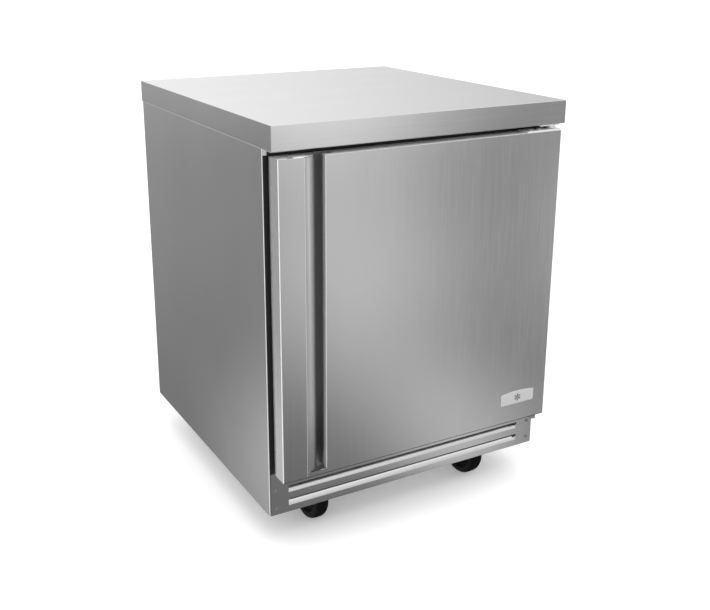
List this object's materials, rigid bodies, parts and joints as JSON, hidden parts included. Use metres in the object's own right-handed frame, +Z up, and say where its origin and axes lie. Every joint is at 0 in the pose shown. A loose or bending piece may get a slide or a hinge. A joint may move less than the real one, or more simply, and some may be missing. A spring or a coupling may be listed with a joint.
{
  "type": "undercounter refrigerator",
  "caption": "Stainless undercounter refrigerator with a full-height recessed-handle door, louvred kick panel, wire shelves and swivel casters.",
  "frame": {"origin": "on the floor, in the middle of the object's box seen from above", "axes": "+Z up; -Y towards the front, where the door is; +X to the right seen from the front, the hinge side"},
  "size_m": [0.6984, 0.754, 0.9144],
  "materials": {
    "brushed_stainless": "directional brushed stainless sheet",
    "worktop_stainless": "brushed stainless worktop",
    "galvanised": "spangled galvanised sheet",
    "bright_steel": "plated fittings",
    "aluminium": "bare aluminium",
    "copper": "bare copper tube",
    "black_plastic": "moulded black plastic",
    "black_rubber": "black rubber",
    "white_plastic": "white moulded plastic",
    "foam": "rigid insulation foam",
    "black_paint": "black enamel",
    "grey_coating": "grey epoxy coated wire",
    "badge_plate": "satin plate with an engraved snowflake"
  },
  "bodies": {
    "cabinet": {"worktop": "worktop_stainless", "side_panel_left": "brushed_stainless", "side_panel_right": "brushed_stainless", "back_panel": "galvanised", "cabinet_insulation": "foam", "cabinet_liner": "aluminium", "breaker_frame": "black_plastic", "base_plate": "galvanised", "kick_grille": "brushed_stainless", "grille_screw_1": "bright_steel", "grille_screw_2": "bright_steel", "grille_screw_3": "bright_steel", "grille_screw_4": "bright_steel", "rear_grille": "galvanised", "upper_hinge_bracket": "bright_steel", "lower_hinge_bracket": "brushed_stainless", "lower_hinge_pin": "bright_steel", "rack_left": "bright_steel", "rack_right": "bright_steel", "compressor": "black_paint", "condenser_coil": "aluminium", "condenser_fan_motor": "black_paint", "filter_drier": "copper", "discharge_line": "copper", "suction_line": "copper", "condensate_pan": "black_plastic", "power_cord": "black_rubber", "evaporator_coil": "aluminium", "evaporator_cover": "white_plastic", "evaporator_fan_motor": "black_paint", "thermostat": "white_plastic", "caster_plate_front_left": "galvanised", "caster_plate_front_right": "galvanised", "caster_plate_rear_left": "galvanised", "caster_plate_rear_right": "galvanised"},
    "door": {"door_skin": "brushed_stainless", "door_foam": "foam", "door_liner": "aluminium", "door_gasket": "black_rubber", "handle_channel": "brushed_stainless", "handle_scoop": "brushed_stainless", "badge": "badge_plate", "door_hinge_plate": "bright_steel", "door_closer_cartridge": "bright_steel"},
    "condenser_fan": {"condenser_fan_blade": "black_plastic"},
    "evaporator_fan": {"evaporator_fan_blade": "black_plastic"},
    "thermostat_dial": {"thermostat_knob": "black_plastic"},
    "lower_shelf": {"shelf_lower": "grey_coating"},
    "upper_shelf": {"shelf_upper": "grey_coating"},
    "front_left_brake": {"brake_pedal_front_left": "black_plastic"},
    "front_right_brake": {"brake_pedal_front_right": "black_plastic"},
    "front_left_fork": {"caster_fork_front_left": "galvanised"},
    "front_left_wheel": {"caster_wheel_front_left": "black_rubber"},
    "front_right_fork": {"caster_fork_front_right": "galvanised"},
    "front_right_wheel": {"caster_wheel_front_right": "black_rubber"},
    "rear_left_fork": {"caster_fork_rear_left": "galvanised"},
    "rear_left_wheel": {"caster_wheel_rear_left": "black_rubber"},
    "rear_right_fork": {"caster_fork_rear_right": "galvanised"},
    "rear_right_wheel": {"caster_wheel_rear_right": "black_rubber"}
  },
  "joints": [
    {"name": "door_hinge", "type": "hinge", "parent": "cabinet", "child": "door", "pos_m": [0.322, -0.355, 0.5], "axis": [0, 0, 1], "range_deg": [0, 120]},
    {"name": "brake_left", "type": "hinge", "parent": "front_left_fork", "child": "front_left_brake", "pos_m": [-0.209, -0.269, 0.1295], "axis": [1, 0, 0], "range_deg": [0, 12]},
    {"name": "brake_right", "type": "hinge", "parent": "front_right_fork", "child": "front_right_brake", "pos_m": [0.209, -0.269, 0.1295], "axis": [1, 0, 0], "range_deg": [0, 12]},
    {"name": "fan_condenser", "type": "hinge", "parent": "cabinet", "child": "condenser_fan", "pos_m": [-0.195, 0.242, 0.268], "axis": [0, 1, 0], "continuous": true},
    {"name": "fan_evaporator", "type": "hinge", "parent": "cabinet", "child": "evaporator_fan", "pos_m": [0, 0.221, 0.753], "axis": [0, 1, 0], "continuous": true},
    {"name": "knob_thermostat", "type": "hinge", "parent": "cabinet", "child": "thermostat_dial", "pos_m": [0.261, 0.218, 0.755], "axis": [0, 1, 0], "range_deg": [0, 280]},
    {"name": "shelf_lift_lower", "type": "slide", "parent": "cabinet", "child": "lower_shelf", "axis": [0, 0, 1], "range_m": [0, 0.025]},
    {"name": "shelf_lift_upper", "type": "slide", "parent": "cabinet", "child": "upper_shelf", "axis": [0, 0, 1], "range_m": [0, 0.025]},
    {"name": "swivel_front_left", "type": "hinge", "parent": "cabinet", "child": "front_left_fork", "pos_m": [-0.209, -0.204, 0.14], "axis": [0, 0, 1], "continuous": true},
    {"name": "swivel_front_right", "type": "hinge", "parent": "cabinet", "child": "front_right_fork", "pos_m": [0.209, -0.204, 0.14], "axis": [0, 0, 1], "continuous": true},
    {"name": "swivel_rear_left", "type": "hinge", "parent": "cabinet", "child": "rear_left_fork", "pos_m": [-0.209, 0.254, 0.14], "axis": [0, 0, 1], "continuous": true},
    {"name": "swivel_rear_right", "type": "hinge", "parent": "cabinet", "child": "rear_right_fork", "pos_m": [0.209, 0.254, 0.14], "axis": [0, 0, 1], "continuous": true},
    {"name": "wheel_front_left", "type": "hinge", "parent": "front_left_fork", "child": "front_left_wheel", "pos_m": [-0.209, -0.239, 0.0635], "axis": [1, 0, 0], "continuous": true},
    {"name": "wheel_front_right", "type": "hinge", "parent": "front_right_fork", "child": "front_right_wheel", "pos_m": [0.209, -0.239, 0.0635], "axis": [1, 0, 0], "continuous": true},
    {"name": "wheel_rear_left", "type": "hinge", "parent": "rear_left_fork", "child": "rear_left_wheel", "pos_m": [-0.209, 0.219, 0.0635], "axis": [1, 0, 0], "continuous": true},
    {"name": "wheel_rear_right", "type": "hinge", "parent": "rear_right_fork", "child": "rear_right_wheel", "pos_m": [0.209, 0.219, 0.0635], "axis": [1, 0, 0], "continuous": true}
  ]
}
